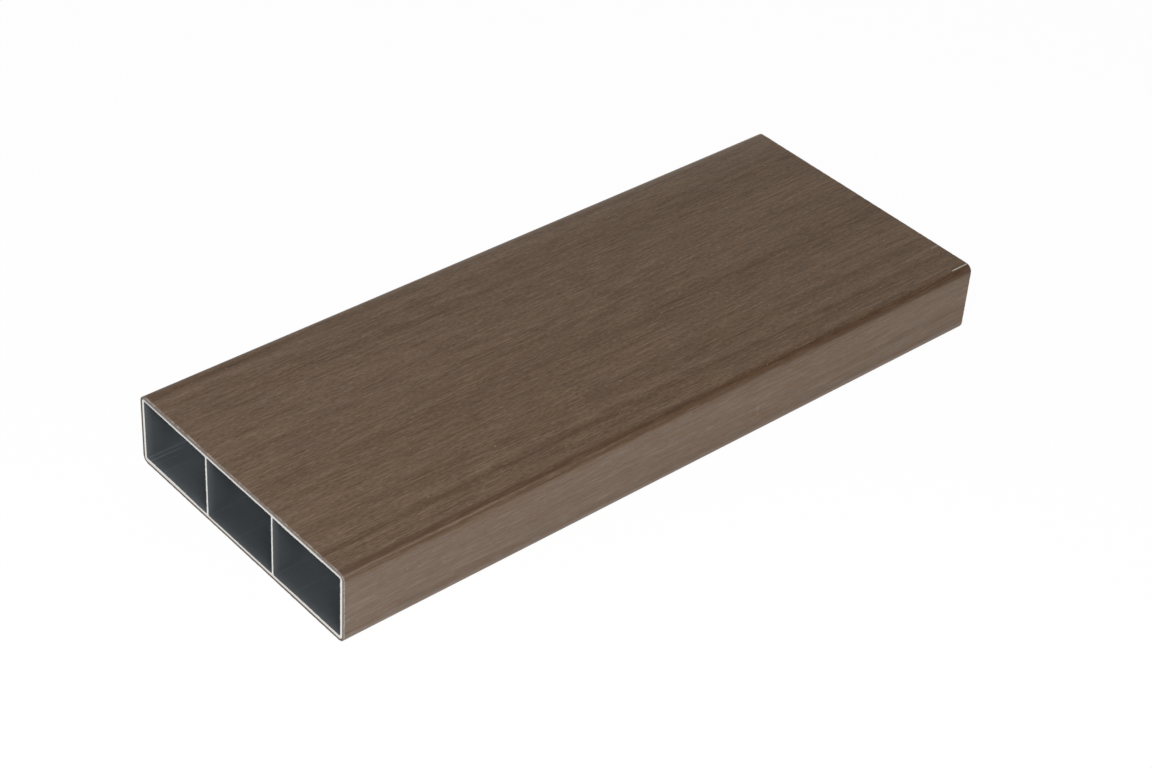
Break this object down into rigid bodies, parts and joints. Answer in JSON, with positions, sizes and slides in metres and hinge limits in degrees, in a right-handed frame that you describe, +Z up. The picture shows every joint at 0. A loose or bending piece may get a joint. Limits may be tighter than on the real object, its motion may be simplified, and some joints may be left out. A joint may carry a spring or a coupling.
{
  "type": "wood-grain aluminium louvre blade",
  "caption": "Flat hollow louvre blade: a webbed extruded aluminium profile with a brown wood-grain cap round it, sawn square at both ends.",
  "frame": {"origin": "middle of the underside, at the centre of the blade's length and width", "axes": "+X along the blade, from the near cut end to the far one; +Y across the blade; +Z up, out of the broad top face"},
  "size_m": [0.3, 0.12, 0.03],
  "materials": {
    "aluminium_profile": "mill finish, bright where the saw cut it and dull dark grey inside the cells",
    "wood_grain_cap": "grey-brown wood grain of fine streaks along the blade, satin"
  },
  "bodies": {
    "root": {"aluminium_profile": "aluminium_profile", "wood_grain_cap": "wood_grain_cap"}
  },
  "joints": []
}
